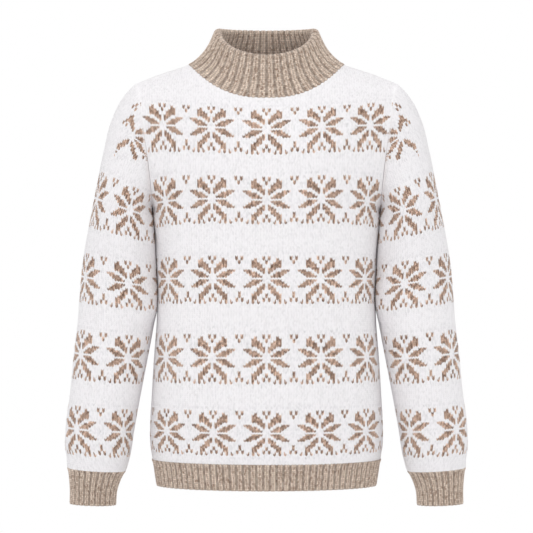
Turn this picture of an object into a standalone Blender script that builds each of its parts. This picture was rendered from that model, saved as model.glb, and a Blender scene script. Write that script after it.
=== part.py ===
"""A knitted mock-neck pullover, open and hollow, in the shape it takes when it is filled out.

+Z is up and the front faces -Y. The origin is the middle of the neck, level with the two neck points,
which is where the shoulders carry it. Sizes are millimetres here, and the meshes are made in metres.
"down" is a distance below the neck points. Each piece is a wall of cloth: a skin of points, and the same
points moved in along the skin's normals. Neighbours share their seam points, so they never cross.
"""

import math

import bmesh
import bpy
import numpy as np

MM = 0.001
SEAM_GAP = 0.3

PANEL_WALL = 2.5
RIB_WALL = 2.4
COLLAR_WALL = 3.6
RIB_RAISE = 1.5

NECK_HALF_WIDTH = 110.0
NECK_FRONT_DROP = 49.0
NECK_BACK_DROP = 13.0
NECK_CURVE_POWER = 2.5
SHOULDER_HALF_WIDTH = 185.0
SHOULDER_DROP = 30.0
ARMPIT_HALF_WIDTH = 162.5
ARMPIT_DROP = 207.5
BODY_LENGTH = 565.0
HEM_BOTTOM = 602.5

COLLAR_RIM_HALF_WIDTH = 72.0
COLLAR_RIM_FRONT = 59.0
COLLAR_RIM_BACK = 55.0
COLLAR_RISE = 51.0
COLLAR_FRONT_DIP = 38.0
COLLAR_DIP_ROUNDING = 0.12
COLLAR_FLARE_POWER = 1.5

SLEEVE_SHOULDER_STATION = 30.0
SLEEVE_ARMPIT_STATION = 183.0

SHOULDER_COLUMNS = 4
NECK_COLUMNS = 14
PANEL_COLUMNS = 2 * SHOULDER_COLUMNS + NECK_COLUMNS
PANEL_ROWS_BELOW_ARMPIT = 8
SLEEVE_COLUMNS = 24
COLLAR_ROWS = 3
HEM_ROWS = 1

ARMHOLE_SAMPLES = 60
OVAL_STEPS = 120
HALVINGS = 40
SMALLEST_MITRE = 0.5

HEM_RIBS_PER_HALF = 45
COLLAR_RIBS = 48
CUFF_RIBS = 26
RIB_PROFILE = (0.0, 1.0, 1.0)

COLOURS = {
    "ivory": (0.84, 0.83, 0.84, 1.0),
    "taupe": (0.43, 0.34, 0.27, 1.0),
}
WOOL_ROUGHNESS = 0.95


def table(names, *rows):
    """A table with named columns. Its first column is the one it is read by."""
    return {name: np.array(column) for name, column in zip(names.split(), zip(*rows))}


# The body below the armpits, at its two sides.
BODY_SIDE = table(
    "down half_width",
    (207.5, 162.5),
    (241.0, 159.5),
    (289.0, 156.6),
    (337.0, 154.6),
    (377.0, 157.3),
    (423.0, 160.9),
    (469.0, 163.7),
    (515.0, 166.2),
    (538.0, 166.4),
    (565.0, 163.0),
)
# How far the front and the back stand from the middle, from the neck down.
BODY_DEPTH = table(
    "down front back",
    (0.0, 38.0, 50.0),
    (12.0, 47.8, 67.0),
    (24.0, 56.4, 78.0),
    (36.0, 65.6, 86.0),
    (49.0, 76.0, 92.0),
    (80.0, 95.0, 102.0),
    (118.0, 106.0, 108.5),
    (160.0, 110.5, 111.5),
    (207.5, 112.0, 113.0),
    (289.0, 115.0, 115.0),
    (337.0, 116.0, 115.0),
    (423.0, 114.0, 114.0),
    (515.0, 112.5, 112.5),
    (565.0, 110.0, 110.0),
)
HEM_RIB = table(
    "down half_width depth",
    (565.0, 163.0, 110.0),
    (583.0, 160.3, 108.3),
    (602.5, 157.3, 106.5),
)
# The armhole seam as it shows from the front.
ARMHOLE = table(
    "down half_width",
    (30.0, 185.0),
    (58.0, 179.5),
    (90.0, 175.0),
    (118.0, 171.0),
    (144.0, 167.5),
    (175.0, 164.3),
    (207.5, 162.5),
)
# Rings of the sleeve and its cuff, from the shoulder down: their outer and inner ends in front view,
# their depth from front to back, and how far they hang forward. Above the armpit the inner ends are
# inside the body, where the armhole cuts them off.
SLEEVE = table(
    "station outer_x inner_x inner_down depth forward",
    (30.0, 185.0, 115.6, 125.5, 92.0, 0.0),
    (39.0, 197.0, 121.6, 125.8, 93.0, 0.0),
    (51.0, 206.6, 127.4, 130.2, 95.0, 0.0),
    (80.0, 220.9, 135.4, 144.4, 100.0, 0.0),
    (123.0, 232.4, 145.0, 169.5, 110.0, 0.0),
    (183.0, 245.0, 162.5, 207.5, 124.0, 0.0),
    (237.0, 255.3, 160.4, 255.5, 123.0, 1.0),
    (285.0, 263.0, 157.8, 300.6, 117.0, 2.0),
    (330.0, 267.4, 156.4, 343.6, 111.0, 4.0),
    (365.0, 271.0, 161.6, 376.8, 108.0, 5.0),
    (408.0, 276.5, 169.2, 417.3, 104.0, 7.0),
    (466.0, 281.0, 179.9, 473.6, 100.0, 9.0),
    (520.0, 286.3, 189.3, 526.4, 97.0, 11.0),
    (550.0, 286.5, 193.8, 555.8, 93.0, 12.0),
    (576.0, 284.1, 200.9, 581.0, 83.0, 13.0),
    (590.0, 282.6, 207.1, 594.0, 76.0, 13.5),
    (604.0, 281.5, 211.5, 607.0, 71.0, 14.0),
    (628.0, 281.7, 213.5, 630.0, 68.5, 15.0),
)
SLEEVE_STATIONS = (576, 556, 528, 488, 448, 408, 368, 332, 298, 266, 236, 208)
CAP_STATIONS = (160, 138, 116, 96, 78, 63, 51, 41, 34)
CUFF_STATIONS = (628, 602, 576)


def smooth(rows, name, at):
    """One column of a table, read anywhere along the first column on a smooth curve."""
    keys = next(iter(rows.values()))
    values = rows[name]
    slopes = np.gradient(values, keys)
    i = int(np.clip(np.searchsorted(keys, at) - 1, 0, len(keys) - 2))
    width = keys[i + 1] - keys[i]
    t = (at - keys[i]) / width
    start = (2 * t**3 - 3 * t**2 + 1) * values[i] + (t**3 - 2 * t**2 + t) * width * slopes[i]
    end = (3 * t**2 - 2 * t**3) * values[i + 1] + (t**3 - t**2) * width * slopes[i + 1]
    return start + end


def sleeve_point(station, angle):
    """A point of the right sleeve's ring. The angle is 0 at its outer line and a half turn at its inner one."""
    outer = np.array([smooth(SLEEVE, "outer_x", station), 0.0, -station])
    inner = np.array([smooth(SLEEVE, "inner_x", station), 0.0, -smooth(SLEEVE, "inner_down", station)])
    forward = smooth(SLEEVE, "forward", station)
    half_depth = smooth(SLEEVE, "depth", station) / 2
    middle = (outer + inner) / 2 + np.array([0.0, -forward, 0.0])
    across = (outer - inner) / 2
    return middle + across * math.cos(angle) + np.array([0.0, -half_depth * math.sin(angle), 0.0])


def armhole_angle(station):
    """The angle at which a ring of the sleeve cap meets the armhole seam, found by halving."""
    low, high = 0.0, math.pi
    for _ in range(HALVINGS):
        angle = (low + high) / 2
        x, _, z = sleeve_point(station, angle)
        if x > smooth(ARMHOLE, "half_width", -z):
            low = angle
        else:
            high = angle
    return low


def armhole_curve():
    """The armhole seam from the shoulder point to the armpit: arrays of down, x and y."""
    span = SLEEVE_ARMPIT_STATION - SLEEVE_SHOULDER_STATION
    points = []
    for k in range(ARMHOLE_SAMPLES + 1):
        station = SLEEVE_SHOULDER_STATION + span * (k / ARMHOLE_SAMPLES) ** 2
        points.append(sleeve_point(station, armhole_angle(station)))
    x, y, z = np.array(points).T
    return -z, x, np.abs(y)


ARMHOLE_DOWN, ARMHOLE_X, ARMHOLE_Y = armhole_curve()


def body_axes(side, down):
    """The half width and the depth of the oval that the body's section follows at this height."""
    depth = smooth(BODY_DEPTH, side, down)
    if down >= ARMPIT_DROP:
        return smooth(BODY_SIDE, "half_width", down), depth
    if down <= SHOULDER_DROP:
        share = down / SHOULDER_DROP
        return NECK_HALF_WIDTH + (SHOULDER_HALF_WIDTH - NECK_HALF_WIDTH) * share, depth
    edge_x = np.interp(down, ARMHOLE_DOWN, ARMHOLE_X)
    edge_y = np.interp(down, ARMHOLE_DOWN, ARMHOLE_Y)
    return edge_x / math.sqrt(1 - (edge_y / depth) ** 2), depth


def quarter_oval(half_width, depth):
    """Angles from the middle of the panel to its side, and the length along the oval to each."""
    angles = np.linspace(0, math.pi / 2, OVAL_STEPS + 1)
    steps_x = np.diff(half_width * np.sin(angles))
    steps_y = np.diff(depth * np.cos(angles))
    return angles, np.concatenate([[0], np.cumsum(np.hypot(steps_x, steps_y))])


def body_point(side, along, down):
    """A point of the front or back, this far along the cloth from the panel's middle."""
    half_width, depth = body_axes(side, down)
    angles, lengths = quarter_oval(half_width, depth)
    angle = math.copysign(np.interp(abs(along), lengths, angles), along)
    facing = -1 if side == "front" else 1
    return np.array([half_width * math.sin(angle), facing * depth * math.cos(angle), -down])


def half_girth(side, down):
    return quarter_oval(*body_axes(side, down))[1][-1]


def neck_down(side, x):
    drop = NECK_FRONT_DROP if side == "front" else NECK_BACK_DROP
    return drop * (1 - abs(x / NECK_HALF_WIDTH) ** NECK_CURVE_POWER)


def along_at(side, x, down):
    """The length along the cloth from the panel's middle to a given x."""
    half_width, depth = body_axes(side, down)
    angles, lengths = quarter_oval(half_width, depth)
    return math.copysign(np.interp(math.asin(min(abs(x) / half_width, 1)), angles, lengths), x)


def panel_tops(side):
    """(along, down) at the top of each column: a shoulder, the neck, and the other shoulder."""
    tops = []
    for m in range(SHOULDER_COLUMNS):
        down = SHOULDER_DROP * (1 - m / SHOULDER_COLUMNS)
        tops.append((-half_girth(side, down), down))
    for m in range(NECK_COLUMNS + 1):
        x = NECK_HALF_WIDTH * math.sin(math.pi * (m / NECK_COLUMNS - 0.5))
        down = neck_down(side, x)
        tops.append((along_at(side, x, down), down))
    return tops + [(-along, down) for along, down in reversed(tops[:SHOULDER_COLUMNS])]


def armhole_seam():
    """The points that the panels and the sleeve share, from the armpit up to the shoulder point."""
    stations = (SLEEVE_ARMPIT_STATION,) + CAP_STATIONS
    seam = [sleeve_point(station, armhole_angle(station)) for station in stations]
    seam[0] = np.array([ARMPIT_HALF_WIDTH, 0.0, -ARMPIT_DROP])
    return seam + [np.array([SHOULDER_HALF_WIDTH, 0.0, -SHOULDER_DROP])]


def panel_grid(side):
    """Rows of points from the hem rib to the shoulders and neck, each from the left to the right."""
    mirror_back = 1 if side == "front" else -1
    middle = PANEL_COLUMNS / 2
    shares = [(m - middle) / middle for m in range(PANEL_COLUMNS + 1)]
    rows = []
    for down in np.linspace(BODY_LENGTH, ARMPIT_DROP, PANEL_ROWS_BELOW_ARMPIT + 1):
        girth = half_girth(side, down)
        rows.append([body_point(side, share * girth, down) for share in shares])
    seam = armhole_seam()
    girth = half_girth(side, ARMPIT_DROP)
    tops = panel_tops(side)
    shoulder_along = tops[-1][0]
    for edge in seam[1:]:
        climb = (ARMPIT_DROP + edge[2]) / (ARMPIT_DROP - SHOULDER_DROP)
        straight = girth + (shoulder_along - girth) * climb
        hollow = straight - along_at(side, edge[0], -edge[2])
        row = []
        for share, (top_along, top_down) in zip(shares, tops):
            along = share * girth + (top_along - share * girth) * climb - hollow * share**3
            row.append(body_point(side, along, ARMPIT_DROP + (top_down - ARMPIT_DROP) * climb))
        row[0] = edge * (-1, mirror_back, 1)
        row[-1] = edge * (1, mirror_back, 1)
        rows.append(row)
    grid = np.array(rows)
    return grid if side == "front" else grid[:, ::-1]


def ring(station, sweep=math.pi):
    """A ring of the right sleeve, from its inner line round by the front, or that much of it."""
    angles = np.linspace(sweep, -sweep, SLEEVE_COLUMNS + 1)
    return [sleeve_point(station, angle) for angle in angles]


def collar_ring(share):
    """A ring of the collar, from its base at 0 to its rim at 1: the front half, then the back half."""
    points = []
    for side, rim_depth, facing in (("front", COLLAR_RIM_FRONT, -1), ("back", COLLAR_RIM_BACK, 1)):
        for m in range(NECK_COLUMNS):
            angle = math.pi * (m / NECK_COLUMNS - 0.5)
            turn = angle if side == "front" else -angle
            x = NECK_HALF_WIDTH * math.sin(turn)
            base = body_point(side, along_at(side, x, neck_down(side, x)), neck_down(side, x))
            lean = -facing * math.cos(angle)
            dip = (lean + math.sqrt(lean**2 + COLLAR_DIP_ROUNDING**2)) / 2
            rim_x = COLLAR_RIM_HALF_WIDTH * math.sin(turn)
            rim_y = facing * rim_depth * math.cos(angle)
            flare = (1 - share) ** COLLAR_FLARE_POWER
            rise = COLLAR_RISE - COLLAR_FRONT_DIP * dip
            points.append(
                (
                    rim_x + (base[0] - rim_x) * flare,
                    rim_y + (base[1] - rim_y) * flare,
                    base[2] + (rise - base[2]) * share,
                )
            )
    return np.array(points + points[:1])


def hem_ring(side, down):
    half_width = smooth(HEM_RIB, "half_width", down)
    depth = smooth(HEM_RIB, "depth", down)
    angles, lengths = quarter_oval(half_width, depth)
    facing = -1 if side == "front" else 1
    points = []
    for m in range(PANEL_COLUMNS + 1):
        share = 2 * m / PANEL_COLUMNS - 1
        angle = math.copysign(np.interp(abs(share) * lengths[-1], lengths, angles), share)
        points.append((half_width * math.sin(angle), facing * depth * math.cos(angle), -down))
    return np.array(points if side == "front" else points[::-1])


class Skin:
    """Points and outward faces of one piece, before it gets its thickness."""

    def __init__(self, rows, closed_rows=0, pole=None):
        """Rows are equal lists of points. The first closed_rows of them are rings whose ends meet."""
        self.points = []
        self.faces = []
        names = []
        for number, row in enumerate(rows):
            start = len(self.points)
            last = len(row) - 1 if number < closed_rows else len(row)
            self.points.extend(row[:last])
            names.append([start + i % last for i in range(len(row))])
        for low, high in zip(names, names[1:]):
            for i in range(len(low) - 1):
                self.add_face(low[i], low[i + 1], high[i + 1], high[i])
        if pole is not None:
            self.points.append(pole)
            for a, b in zip(names[-1], names[-1][1:]):
                self.add_face(a, b, len(self.points) - 1)
        self.points = np.array(self.points, float)

    def add_face(self, *corners):
        corners = list(dict.fromkeys(corners))
        self.faces.append(corners)

    def mirrored(self):
        other = Skin.__new__(Skin)
        other.points = self.points * (-1, 1, 1)
        other.faces = [face[::-1] for face in self.faces]
        return other


def place_key(point):
    return tuple(np.round(point, 3) + 0.0)


def shared_normals(skins):
    """The outward normal at each place, averaged over every piece that meets there."""
    sums = {}
    for skin in skins:
        for face in skin.faces:
            corners = skin.points[face]
            normal = np.cross(corners[2] - corners[0], corners[-1] - corners[1])
            if len(face) == 3:
                normal = np.cross(corners[1] - corners[0], corners[2] - corners[0])
            for corner in corners:
                sums[place_key(corner)] = sums.get(place_key(corner), 0) + normal
    return {key: total / np.linalg.norm(total) for key, total in sums.items()}


def seam_moves(skin, normals):
    """How far each edge point moves into its own piece, so that neighbours lie a seam gap apart."""
    once = {}
    for face in skin.faces:
        for a, b in zip(face, face[1:] + face[:1]):
            if (b, a) in once:
                del once[b, a]
            else:
                once[a, b] = True
    after = {a: b for a, b in once}
    before = {b: a for a, b in once}
    moves = np.zeros_like(skin.points)
    for here in after:
        inward = []
        for a, b in ((before[here], here), (here, after[here])):
            step = np.cross(normals[here], skin.points[b] - skin.points[a])
            inward.append(step / np.linalg.norm(step))
        total = inward[0] + inward[1]
        moves[here] = total / max(1 + inward[0] @ inward[1], SMALLEST_MITRE) * SEAM_GAP / 2
    return moves, list(once)


def make_material(name):
    material = bpy.data.materials.new(name)
    material.use_nodes = True
    shader = material.node_tree.nodes["Principled BSDF"]
    shader.inputs["Base Color"].default_value = COLOURS[name]
    shader.inputs["Roughness"].default_value = WOOL_ROUGHNESS
    shader.inputs["Metallic"].default_value = 0.0
    return material


def make_wall(name, skin, normals, wall, material, collection, raised=0.0):
    """A closed wall of cloth with the skin outside, its outer points raised where it is ribbed."""
    moves, edges = seam_moves(skin, normals)
    lift = np.reshape(raised, (-1, 1)) * normals
    outer = skin.points + moves + lift
    inner = skin.points + moves - wall * normals
    count = len(skin.points)
    faces = [list(face) for face in skin.faces]
    faces += [[count + i for i in reversed(face)] for face in skin.faces]
    faces += [[a, a + count, b + count, b] for a, b in edges]
    mesh = bpy.data.meshes.new(name)
    mesh.from_pydata((np.concatenate([outer, inner]) * MM).tolist(), [], faces)
    solid = bmesh.new()
    solid.from_mesh(mesh)
    bmesh.ops.triangulate(solid, faces=solid.faces)
    solid.to_mesh(mesh)
    solid.free()
    mesh.shade_smooth()
    mesh.materials.append(material)
    obj = bpy.data.objects.new(name, mesh)
    collection.objects.link(obj)


def ribbed(coarse_rows, normal_of, ribs, closed):
    """The same rows with points enough for the ribs, which lie on the coarse rows' straight stretches."""
    points = len(RIB_PROFILE) * ribs
    rows, normals, raised = [], [], []
    for row in coarse_rows:
        row_normals = np.array([normal_of[place_key(point)] for point in row])
        places = np.linspace(0, len(row) - 1, points + 1)
        index = np.arange(len(row))
        rows.append(np.stack([np.interp(places, index, row[:, i]) for i in range(3)], axis=1))
        between = np.stack([np.interp(places, index, row_normals[:, i]) for i in range(3)], axis=1)
        between /= np.linalg.norm(between, axis=1, keepdims=True)
        heights = [RIB_RAISE * RIB_PROFILE[i % len(RIB_PROFILE)] for i in range(points + 1)]
        last = points if closed else points + 1
        normals.extend(between[:last])
        raised.extend(heights[:last])
    skin = Skin(rows, closed_rows=len(rows) if closed else 0)
    return skin, np.array(normals), np.array(raised)


def piece_normals(skin, normal_of):
    return np.array([normal_of[place_key(point)] for point in skin.points])


def sleeve_skin():
    rings = [ring(station) for station in SLEEVE_STATIONS]
    seam = armhole_seam()
    armpit_ring = ring(SLEEVE_ARMPIT_STATION)
    armpit_ring[0] = armpit_ring[-1] = seam[0]
    rings.append(armpit_ring)
    closed = len(rings)
    rings += [ring(station, armhole_angle(station)) for station in CAP_STATIONS]
    return Skin(rings, closed_rows=closed, pole=seam[-1])


def clear_scene():
    for obj in list(bpy.data.objects):
        bpy.data.objects.remove(obj, do_unlink=True)


def main():
    clear_scene()
    collection = bpy.data.collections.new("christmas_sweater")
    bpy.context.scene.collection.children.link(collection)
    ivory = make_material("ivory")
    taupe = make_material("taupe")

    hem_downs = np.linspace(HEM_BOTTOM, BODY_LENGTH, HEM_ROWS + 1)
    hem_rows = {side: [hem_ring(side, down) for down in hem_downs] for side in ("front", "back")}
    collar_rows = [collar_ring(k / COLLAR_ROWS) for k in range(COLLAR_ROWS + 1)]
    cuff_rows = [np.array(ring(station)) for station in CUFF_STATIONS]
    panels = {side: Skin(panel_grid(side)) for side in ("front", "back")}
    sleeve = sleeve_skin()
    cuff = Skin(cuff_rows, closed_rows=len(cuff_rows))
    skins = [*panels.values(), sleeve, sleeve.mirrored(), cuff, cuff.mirrored()]
    skins += [Skin(rows) for rows in hem_rows.values()]
    skins.append(Skin(collar_rows, closed_rows=len(collar_rows)))
    normal_of = shared_normals(skins)

    for side, skin in panels.items():
        make_wall(side, skin, piece_normals(skin, normal_of), PANEL_WALL, ivory, collection)
    for name, skin in (("sleeve_right", sleeve), ("sleeve_left", sleeve.mirrored())):
        make_wall(name, skin, piece_normals(skin, normal_of), PANEL_WALL, ivory, collection)
    for side, rows in hem_rows.items():
        skin, normals, raised = ribbed(rows, normal_of, HEM_RIBS_PER_HALF, closed=False)
        make_wall(f"hem_rib_{side}", skin, normals, RIB_WALL, taupe, collection, raised)
    skin, normals, raised = ribbed(collar_rows, normal_of, COLLAR_RIBS, closed=True)
    make_wall("collar", skin, normals, COLLAR_WALL, taupe, collection, raised)
    skin, normals, raised = ribbed(cuff_rows, normal_of, CUFF_RIBS, closed=True)
    make_wall("cuff_right", skin, normals, RIB_WALL, taupe, collection, raised)
    make_wall("cuff_left", skin.mirrored(), normals * (-1, 1, 1), RIB_WALL, taupe, collection, raised)


main()
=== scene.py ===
"""The looks of a knitted mock-neck pullover: ivory panels with bands of brown snowflakes, and marled ribs.

Each piece is a thin shell. Its outside is knitted stitch by stitch on the garment's form, which is worked
out here from the sizes and tables of the solids. Sizes are millimetres until a mesh is made. +Z is up and
the front faces -Y. "down" is a distance below the neck points, "along" a length along the cloth from a
panel's middle or a sleeve's outer line, and "station" a distance down a sleeve's outer line. u counts
stitches across a piece and v counts courses up it.
"""

import math

import bpy
import numpy as np
from mathutils.geometry import delaunay_2d_cdt
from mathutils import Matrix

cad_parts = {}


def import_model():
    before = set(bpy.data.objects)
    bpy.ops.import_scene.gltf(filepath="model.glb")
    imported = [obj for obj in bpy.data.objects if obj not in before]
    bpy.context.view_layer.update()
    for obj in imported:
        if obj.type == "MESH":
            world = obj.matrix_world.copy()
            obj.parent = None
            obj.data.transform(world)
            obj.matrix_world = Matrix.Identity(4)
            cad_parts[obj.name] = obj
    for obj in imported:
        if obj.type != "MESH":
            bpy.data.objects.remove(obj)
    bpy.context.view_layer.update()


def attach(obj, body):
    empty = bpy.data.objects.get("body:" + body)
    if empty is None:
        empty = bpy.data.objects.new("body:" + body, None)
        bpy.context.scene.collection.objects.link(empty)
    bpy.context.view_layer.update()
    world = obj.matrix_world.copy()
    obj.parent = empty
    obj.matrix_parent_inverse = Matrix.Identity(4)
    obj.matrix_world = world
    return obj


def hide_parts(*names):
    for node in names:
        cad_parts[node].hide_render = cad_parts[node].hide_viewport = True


MM = 0.001
SEED = 24

# The garment, as its solids have it, but the collar is a little lower in front and narrows a little sooner.
RIB_WALL = 2.4
COLLAR_WALL = 3.6
RIB_RAISE = 1.5
NECK_HALF_WIDTH = 110.0
NECK_FRONT_DROP = 49.0
NECK_BACK_DROP = 13.0
NECK_CURVE_POWER = 2.5
SHOULDER_HALF_WIDTH = 185.0
SHOULDER_DROP = 30.0
ARMPIT_DROP = 207.5
BODY_LENGTH = 565.0
HEM_BOTTOM = 602.5
COLLAR_RIM_HALF_WIDTH = 72.0
COLLAR_RIM_FRONT = 59.0
COLLAR_RIM_BACK = 55.0
COLLAR_RISE = 51.0
COLLAR_FRONT_DIP = 40.6
COLLAR_DIP_ROUNDING = 0.12
COLLAR_FLARE_POWER = 1.75
SLEEVE_SHOULDER_STATION = 30.0
SLEEVE_ARMPIT_STATION = 183.0
SLEEVE_END_STATION = 576.0
CUFF_END_STATION = 628.0
HEM_RIBS_PER_HALF = 45
COLLAR_RIBS = 48
CUFF_RIBS = 26
OVAL_STEPS = 120
SHORT_OF_LAST_RING = 1.001
SPARE_RINGS = 2
HALVINGS = 40
ARMHOLE_POINTS = 400
NECK_POINTS = 60
SHOULDER_POINTS = 31
PANEL_TOP_POINTS = 80
CAP_TOP_POINTS = 120

# The knitting.
BODY_STITCHES = 111
BODY_COURSES = 216
BODY_STITCH = 3.94
COURSE_HEIGHT = 2.8
SLEEVE_COURSES = 192
RIB_COURSE = 2.75
LEAN = 0.75
RIB_LEAN = 0.5
APEX_ACROSS = (0.25, 0.75)
APEX_UP = 0.75
LEG_RISE = 0.2
LEG_SINK = 0.9
EDGE_CALM = 2.0
ON_EDGE = 0.02
SHELL = 2.0
JOINED_DECIMALS = 2
TINY = 1e-6
LINING_STEP = 14.0
SEAM_REACH = 4.0
TOP_SEAM_DIP = 0.4
SIDE_REACH = 12.0
SHADE_REACH = 5.0
LONG_SHADE_REACH = 26.0
PURL_RISE = 0.25
RIB_SINK = 1.5
RIB_TOP_FROM = 0.05
RIB_TOP_RISE = 0.2
WALE_DIP = 0.6
WALE_DIP_WIDTH = 0.06
EDGE_FLAT = 0.5
CUFF_SINK = 0.8
CUFF_TRIM = 1.0
HEM_TRIM = 0.3
COLLAR_LENGTH = 68.0
COLLAR_ROLL = 12.0
COLLAR_BULGE = 3.2
COLLAR_BULGES, COLLAR_STRAIGHTENS, COLLAR_STRAIGHTENED = (0.2, 0.75), (0.8, 1.05), 0.6
COLLAR_TOP = 2.4
COLLAR_BACK_DIP = 2.2
TOOTH = 1.6
TOOTH_LIFT = 1.1
TOOTH_FADE = 6.0
EDGE_FROM = 0.8
END_ROWS = 0.25
SHARE_STEP, TURN_STEP = 0.02, 0.05

# The shoulders stand a little higher than the solids have them. Distances are from the garment's middle.
SHOULDER_LIFT = 3.0
LIFT_FROM, LIFT_FULL, LIFT_FALLS, LIFT_ENDS = 110.0, 160.0, 182.0, 204.0
LIFT_FADES, LIFT_GONE = 35.0, 85.0


def table(names, *rows):
    """A table with named columns. Its first column is the one it is read by."""
    return {name: np.array(column, float) for name, column in zip(names.split(), zip(*rows))}


BODY_SIDE = table(
    "down half_width",
    (207.5, 162.5),
    (241, 159.5),
    (289, 156.6),
    (337, 154.6),
    (377, 157.3),
    (423, 160.9),
    (469, 163.7),
    (515, 166.2),
    (538, 166.4),
    (565, 163),
)
BODY_DEPTH = table(
    "down front back",
    (0, 38, 50),
    (12, 47.8, 67),
    (24, 56.4, 78),
    (36, 65.6, 86),
    (49, 76, 92),
    (80, 95, 102),
    (118, 106, 108.5),
    (160, 110.5, 111.5),
    (207.5, 112, 113),
    (289, 115, 115),
    (337, 116, 115),
    (423, 114, 114),
    (515, 112.5, 112.5),
    (565, 110, 110),
)
HEM_RIB = table(
    "down half_width depth",
    (565, 163, 110),
    (583, 160.3, 108.3),
    (602.5, 157.3, 106.5),
)
ARMHOLE = table(
    "down half_width",
    (30, 185),
    (58, 179.5),
    (90, 175),
    (118, 171),
    (144, 167.5),
    (175, 164.3),
    (207.5, 162.5),
)
SLEEVE = table(
    "station outer_x inner_x inner_down depth forward",
    (30, 185, 115.6, 125.5, 92, 0),
    (39, 197, 121.6, 125.8, 93, 0),
    (51, 206.6, 127.4, 130.2, 95, 0),
    (80, 220.9, 135.4, 144.4, 100, 0),
    (123, 232.4, 145, 169.5, 110, 0),
    (183, 245, 162.5, 207.5, 124, 0),
    (237, 255.3, 160.4, 255.5, 123, 1),
    (285, 263, 157.8, 300.6, 117, 2),
    (330, 267, 156.4, 343.6, 111, 4),
    (365, 269.4, 161.6, 376.8, 108, 5),
    (408, 274.6, 169.2, 417.3, 104, 7),
    (466, 279.8, 179.9, 473.6, 100, 9),
    (520, 286.3, 189.3, 526.4, 97, 11),
    (550, 286.5, 193.8, 555.8, 93, 12),
    (576, 284.1, 200.9, 581, 83, 13),
    (590, 282.6, 207.1, 594, 76, 13.5),
    (604, 281.5, 211.5, 607, 71, 14),
    (628, 281.7, 213.5, 630, 68.5, 15),
)

# Where each place of a stitch lies is worked out for every quarter of a stitch and of a course.
QUARTERS = 4
# Where the body's courses lie: the middle of each band of snowflakes, from the hem rib up. How they rise
# towards the sides, in millimetres at the side seam: a kinked part and a rounded part. And how the stitches
# spread along them: a share at the middle and a share half way out.
BODY_ROWS = table(
    "v down kink bow middle outer",
    (0, 565, 0, 0, -0.05, 0),
    (18, 519.8, -1.9, 1.8, -0.05, 0),
    (55, 414.3, -1.1, -0.8, -0.014, 0.15),
    (94, 303.2, 3.9, -8.2, -0.012, 0.18),
    (135, 193.3, 19, -27, 0, 0),
    (170, 94.2, 16.9, -8, 0.019, -0.19),
    (172.25, 87.9, 16.9, -8, 0.019, -0.19),
)
BODY_BANDS = (17, 54, 93, 134, 169)
KINK_ROUNDING = 0.1
PITCH_CLIMB = 60
# Where the sleeve's courses lie, from the cuff up, and how far they sag at the inner line.
SLEEVE_ROWS = table(
    "v station sag",
    (0, 576, 0),
    (20, 517, 0),
    (46.5, 441.7, 0),
    (57, 410.8, 0),
    (67.5, 379.9, 0),
    (83.5, 333, 0),
    (94, 302.2, 0),
    (104.5, 271.2, 3),
    (120.5, 225.5, 9),
    (131, 190, 10),
    (141.5, 154.5, 8),
    (154.25, 117, 3),
    (165, 85.5, 0),
)
SLEEVE_BANDS = (19, 56, 93, 130)
# Above these stations the cap is cut by its distance from the armhole, and below them by its length round.
CAP_TOP_STATIONS = (50.0, 80.0)
CAP_BAND = 166
# Stitch columns of the sleeve: how far round from its outer line the front star lies, and a stitch's width.
SLEEVE_COLUMNS = table(
    "station star_along width",
    (30, 100, 3.3),
    (85, 99.5, 3.32),
    (190, 97.6, 3.35),
    (304, 104.5, 3.75),
    (413, 110.5, 3.80),
    (519, 116.2, 3.73),
    (576, 120, 3.65),
)
SLEEVE_FIRST_COLUMN = -82
SLEEVE_LAST_COLUMN = 24

# Soft troughs in the cloth, and ridges where the depth is below zero. Each runs through three places, given
# as millimetres along the cloth from the middle of a panel or the outer line of a sleeve, and a level.
CREASE_COLUMNS = "along_1 level_1 along_2 level_2 along_3 level_3 depth width"
FRONT_CREASES = table(
    CREASE_COLUMNS,
    (-206, 196, -172, 232, -140, 262, 1.7, 9),
    (-214, 222, -188, 262, -176, 304, 1.3, 8),
    (-196, 214, -158, 250, -128, 284, -0.8, 10),
    (208, 200, 176, 224, 146, 246, 1.5, 9),
    (214, 236, 190, 286, 186, 330, 1.2, 8),
    (200, 218, 166, 244, 134, 268, -0.7, 10),
    (-150, 380, -112, 424, -96, 476, 0.8, 13),
    (158, 396, 124, 446, 114, 502, 0.9, 12),
    (-128, 549, -66, 541, -12, 550, 0.9, 8),
    (34, 550, 88, 540, 146, 551, 1, 8),
    (-60, 528, 10, 534, 70, 528, -0.6, 12),
)
BACK_CREASES = table(
    CREASE_COLUMNS,
    (-204, 200, -170, 226, -136, 244, 1.6, 9),
    (-212, 230, -190, 276, -184, 322, 1.2, 9),
    (206, 196, 170, 234, 142, 270, 1.6, 9),
    (212, 226, 188, 260, 172, 300, 1.2, 8),
    (-96, 432, -14, 446, 78, 434, 1.5, 12),
    (-62, 470, 12, 482, 96, 468, 1.3, 13),
    (-84, 452, 0, 464, 84, 450, -0.8, 11),
    (-120, 549, -58, 541, 4, 551, 0.9, 8),
    (30, 550, 84, 542, 136, 550, 0.9, 8),
    (-30, 60, 0, 92, 26, 60, 0.7, 14),
)
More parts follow.
